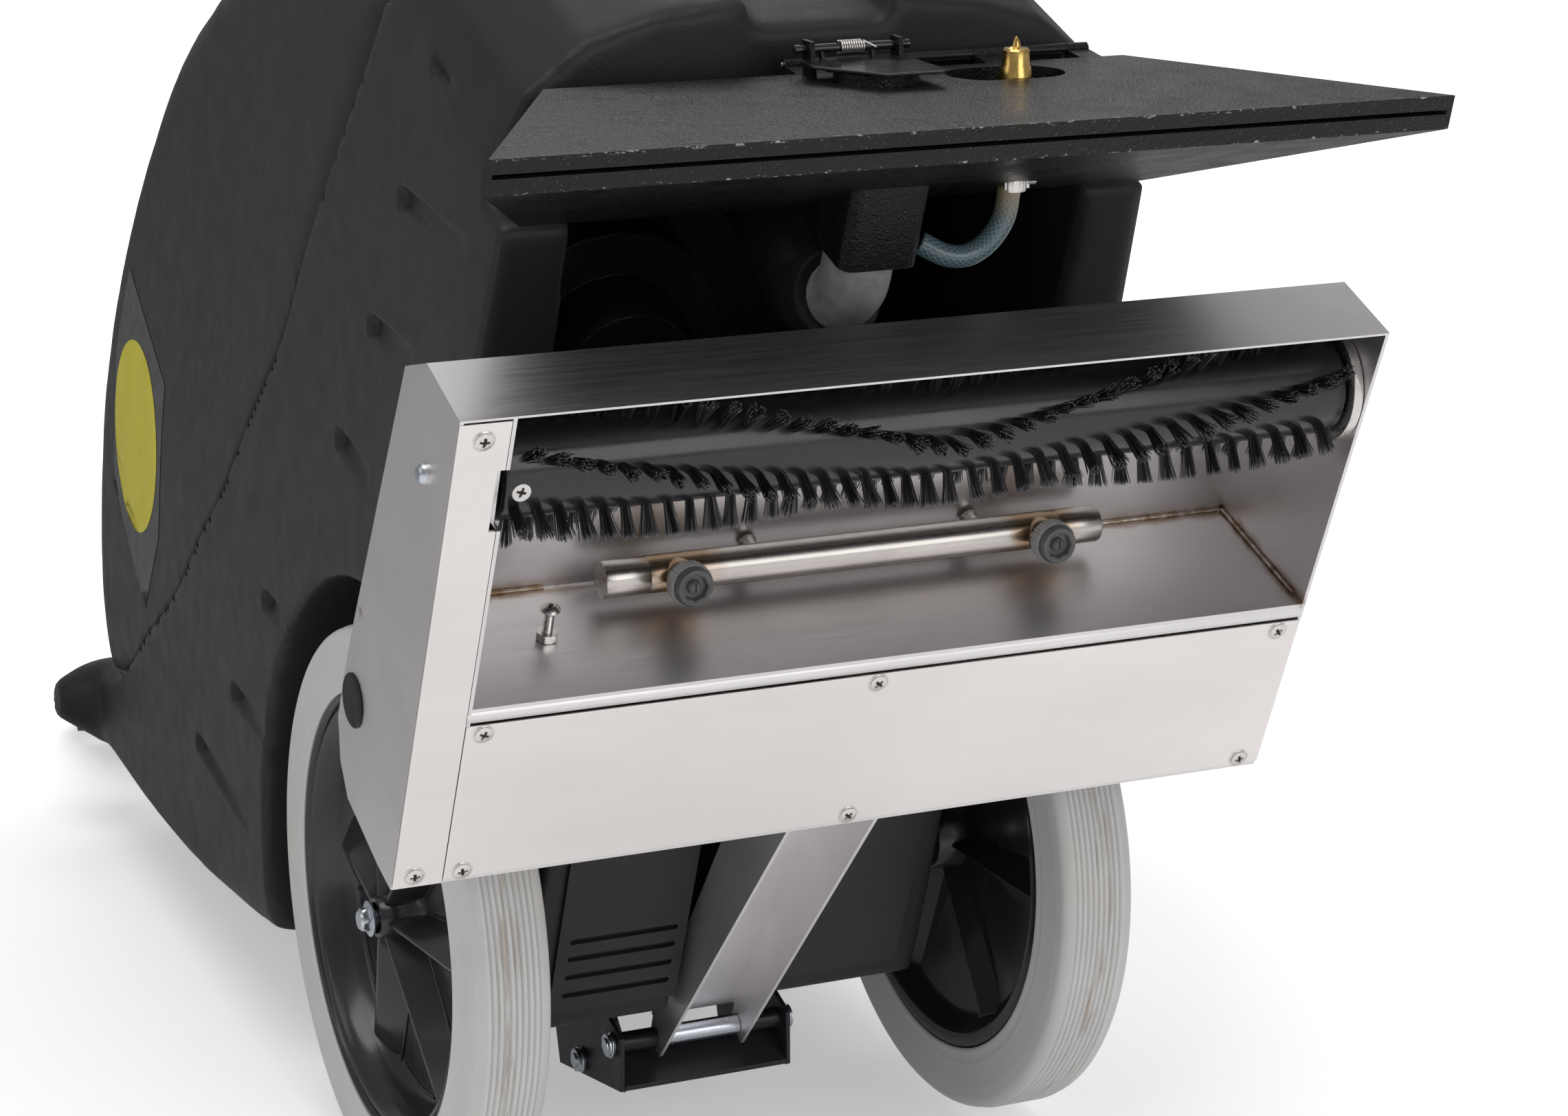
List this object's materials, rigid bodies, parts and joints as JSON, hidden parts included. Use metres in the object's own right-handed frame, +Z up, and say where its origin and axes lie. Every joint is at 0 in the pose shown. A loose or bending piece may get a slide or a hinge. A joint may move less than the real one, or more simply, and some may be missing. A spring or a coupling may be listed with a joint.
{
  "type": "walk-behind carpet extractor",
  "caption": "Walk-behind carpet extractor tipped back on its wheels, showing its floating stainless brush head, spray bar and hinged vacuum shoe.",
  "frame": {"origin": "centre of the bounding box, on the ground that the tipped machine rests on", "axes": "+X along the wheel axle, +Y from the brush head back to the handle, +Z up, with the machine tipped 69 degrees back from its working stance"},
  "size_m": [0.477, 1.252, 0.6507],
  "materials": {
    "tank_black": "rotomoulded polyethylene, fine grain",
    "gloss_black": "moulded, satin gloss",
    "fitting_grey": "moulded grey plastic",
    "coated_black": "textured powder coat",
    "stainless": "satin stainless sheet",
    "zinc_plate": "bright zinc plate",
    "brass_fitting": "turned",
    "tyre_grey": "light grey with fine ribs",
    "rubber_black": "moulded",
    "braided_hose": "clear hose over a woven braid"
  },
  "bodies": {
    "frame_body": {"lower_tank": "tank_black", "recovery_tank": "tank_black", "underbody_panel": "coated_black", "vacuum_motor": "coated_black", "recovery_hose": "rubber_black", "hose_cuff": "rubber_black", "elbow_pipe": "fitting_grey", "axle_nut_left": "zinc_plate", "axle_nut_right": "zinc_plate", "wheel_axle": "zinc_plate", "lift_bracket": "coated_black", "pivot_shaft": "zinc_plate", "pivot_spacer_left": "gloss_black", "pivot_spacer_right": "gloss_black", "shoe_hinge": "coated_black", "shoe_hinge_pin": "zinc_plate", "handle_tube": "coated_black", "grip_left": "rubber_black", "grip_right": "rubber_black", "switch_box": "gloss_black", "mains_inlet": "rubber_black"},
    "wheel_left": {"tyre_left": "tyre_grey", "hub_left": "gloss_black"},
    "wheel_right": {"tyre_right": "tyre_grey", "hub_right": "gloss_black"},
    "head": {"head_shell": "stainless", "motor_cover": "stainless", "belt_cover": "stainless", "side_plug": "rubber_black", "axle_bolt_left": "stainless", "axle_bolt_right": "stainless", "bearing_ring": "stainless", "brush_motor": "coated_black", "spray_bar": "stainless", "height_bolt": "zinc_plate", "height_nut": "zinc_plate", "arm_channel": "stainless", "pivot_sleeve": "zinc_plate", "drive_belt": "rubber_black"},
    "brush": {"brush_roller": "tank_black", "brush_pulley": "gloss_black"},
    "motor_rotor": {"motor_pulley": "zinc_plate"},
    "nozzle_left": {"nozzle_cap_left": "fitting_grey"},
    "nozzle_right": {"nozzle_cap_right": "fitting_grey"},
    "shoe": {"vac_shoe": "coated_black", "quick_connect": "brass_fitting", "supply_hose": "braided_hose", "flap_spring": "stainless"},
    "flap": {"port_flap": "coated_black"},
    "lid": {"tank_lid": "gloss_black"},
    "fill": {"fill_cap": "gloss_black"},
    "drain": {"drain_cap": "gloss_black"},
    "lift": {"lift_shaft": "zinc_plate", "lift_chain": "zinc_plate"},
    "rocker_1": {"rocker_brush": "gloss_black"},
    "rocker_2": {"rocker_vacuum": "gloss_black"},
    "rocker_3": {"rocker_pump": "gloss_black"}
  },
  "joints": [
    {"name": "wheel_left_spin", "type": "hinge", "parent": "frame_body", "child": "wheel_left", "pos_m": [-0.1623, -0.29175, 0.15236], "axis": [1, 0, 0], "continuous": true},
    {"name": "wheel_right_spin", "type": "hinge", "parent": "frame_body", "child": "wheel_right", "pos_m": [0.1623, -0.29175, 0.15236], "axis": [1, 0, 0], "continuous": true},
    {"name": "head_float", "type": "hinge", "parent": "frame_body", "child": "head", "pos_m": [0, -0.29121, 0.06046], "axis": [1, 0, 0], "range_deg": [0, 5]},
    {"name": "brush_spin", "type": "hinge", "parent": "head", "child": "brush", "pos_m": [0, -0.53658, 0.44618], "axis": [1, 0, 0], "continuous": true},
    {"name": "motor_spin", "type": "hinge", "parent": "head", "child": "motor_rotor", "pos_m": [-0.222, -0.4533, 0.29604], "axis": [1, 0, 0], "continuous": true},
    {"name": "nozzle_left_turn", "type": "hinge", "parent": "head", "child": "nozzle_left", "pos_m": [-0.085, -0.48261, 0.36646], "axis": [0, -0.9972, -0.0746], "range_deg": [0, 90]},
    {"name": "nozzle_right_turn", "type": "hinge", "parent": "head", "child": "nozzle_right", "pos_m": [0.109, -0.48261, 0.36646], "axis": [0, -0.9972, -0.0746], "range_deg": [0, 90]},
    {"name": "shoe_swing", "type": "hinge", "parent": "frame_body", "child": "shoe", "pos_m": [0, -0.45371, 0.60433], "axis": [-1, 0, 0], "range_deg": [0, 70]},
    {"name": "flap_open", "type": "hinge", "parent": "shoe", "child": "flap", "pos_m": [0, -0.47245, 0.61365], "axis": [-1, 0, 0], "range_deg": [0, 95], "stiffness_Nm_per_rad": 0.02, "springref_deg": -28.65},
    {"name": "lid_open", "type": "hinge", "parent": "frame_body", "child": "lid", "pos_m": [0, 0.28174, 0.39847], "axis": [-1, 0, 0], "range_deg": [0, 100]},
    {"name": "fill_cap_turn", "type": "hinge", "parent": "frame_body", "child": "fill", "pos_m": [0, 0.39161, 0.09524], "axis": [0, 0.9337, 0.358], "continuous": true},
    {"name": "drain_cap_turn", "type": "hinge", "parent": "frame_body", "child": "drain", "pos_m": [-0.07, 0.12149, 0.07627], "axis": [0, -0.0236, -0.9997], "continuous": true},
    {"name": "lift_turn", "type": "hinge", "parent": "frame_body", "child": "lift", "pos_m": [0, -0.24772, 0.03643], "axis": [-1, 0, 0], "range_deg": [0, 8]},
    {"name": "rocker_brush_tip", "type": "hinge", "parent": "frame_body", "child": "rocker_1", "pos_m": [-0.05, 0.55615, 0.0319], "axis": [1, 0, 0], "range_deg": [-8, 8]},
    {"name": "rocker_vacuum_tip", "type": "hinge", "parent": "frame_body", "child": "rocker_2", "pos_m": [0, 0.55615, 0.0319], "axis": [1, 0, 0], "range_deg": [-8, 8]},
    {"name": "rocker_pump_tip", "type": "hinge", "parent": "frame_body", "child": "rocker_3", "pos_m": [0.05, 0.55615, 0.0319], "axis": [1, 0, 0], "range_deg": [-8, 8]}
  ],
  "couplings": [
    {"joint": "motor_spin", "follows": "brush_spin", "ratio": 1.8333}
  ]
}
